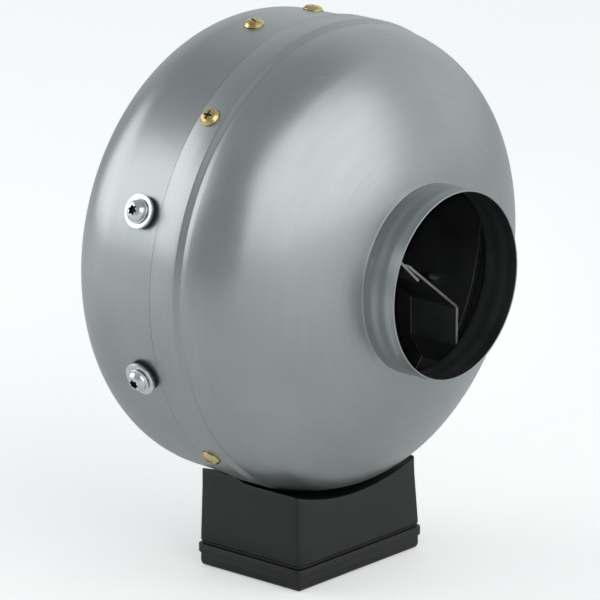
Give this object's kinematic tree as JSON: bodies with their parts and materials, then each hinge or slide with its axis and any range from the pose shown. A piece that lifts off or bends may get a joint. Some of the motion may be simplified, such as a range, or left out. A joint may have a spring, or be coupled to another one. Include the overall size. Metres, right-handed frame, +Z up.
{
  "type": "inline duct fan",
  "caption": "Inline duct fan with a pressed steel casing, a spigot at each end, a centrifugal impeller on an external-rotor motor, and a plastic terminal box beneath.",
  "frame": {"origin": "on the plane that the terminal box stands on, under the middle of the casing between the two spigot rims", "axes": "+Y along the fan's axis from the outlet to the inlet, +Z up, +X to the right when facing the outlet from its front"},
  "size_m": [0.2466, 0.2032, 0.2897],
  "materials": {
    "casing": "satin metallic silver-grey on pressed sheet",
    "galvanised_sheet": "galvanised sheet, dull",
    "yellow_zinc": "yellow passivated zinc",
    "zinc": "bright zinc plating",
    "black_rubber": "matt black rubber",
    "black_plastic": "fine-grained moulded plastic",
    "impeller_plastic": "dark grey moulded plastic",
    "motor_aluminium": "die-cast aluminium",
    "laminations": "stacked electrical steel sheets",
    "rotor_paint": "black paint on drawn steel",
    "winding": "enamelled copper wire",
    "ground_steel": "ground bearing steel",
    "terminal_plastic": "light grey moulded plastic",
    "capacitor_case": "light grey plastic can",
    "lead_sheath": "black sheathed lead"
  },
  "bodies": {
    "housing": {"outlet_shell": "casing", "inlet_shell": "casing", "inlet_nozzle": "galvanised_sheet", "motor_plate": "galvanised_sheet", "bracket_leg_1": "galvanised_sheet", "bracket_leg_2": "galvanised_sheet", "bracket_leg_3": "galvanised_sheet", "bracket_leg_4": "galvanised_sheet", "band_screw_1": "yellow_zinc", "band_screw_2": "yellow_zinc", "band_screw_3": "yellow_zinc", "band_screw_4": "yellow_zinc", "top_screw_1": "yellow_zinc", "top_screw_2": "yellow_zinc", "side_screw_1": "zinc", "side_screw_2": "zinc", "side_screw_3": "zinc", "side_screw_4": "zinc", "side_washer_1": "zinc", "side_washer_2": "zinc", "side_washer_3": "zinc", "side_washer_4": "zinc", "motor_screw_1": "zinc", "motor_screw_2": "zinc", "motor_screw_3": "zinc", "lid_screw_1": "zinc", "lid_screw_2": "zinc", "lid_screw_3": "zinc", "lid_screw_4": "zinc", "box_screw_1": "zinc", "box_screw_2": "zinc", "side_rubber_1": "black_rubber", "side_rubber_2": "black_rubber", "side_rubber_3": "black_rubber", "side_rubber_4": "black_rubber", "lid_gasket": "black_rubber", "gland_seal": "black_rubber", "casing_grommet": "black_rubber", "terminal_box": "black_plastic", "box_lid": "black_plastic", "capacitor_clip": "black_plastic", "gland_body": "black_plastic", "gland_nut": "black_plastic", "stator_flange": "motor_aluminium", "stator_core": "laminations", "winding_outlet_end": "winding", "winding_inlet_end": "winding", "bearing_outer_1": "ground_steel", "bearing_outer_2": "ground_steel", "terminal_block": "terminal_plastic", "capacitor": "capacitor_case", "motor_lead": "lead_sheath"},
    "impeller": {"impeller_wheel": "impeller_plastic", "impeller_shroud": "impeller_plastic", "rotor_can": "rotor_paint", "rotor_cage": "motor_aluminium", "rotor_shaft": "ground_steel", "shaft_clip": "zinc", "bearing_inner_1": "ground_steel", "bearing_inner_2": "ground_steel"}
  },
  "joints": [
    {"name": "impeller_spin", "type": "hinge", "parent": "housing", "child": "impeller", "pos_m": [0, -0.0204, 0.1663], "axis": [0, 1, 0], "continuous": true}
  ]
}
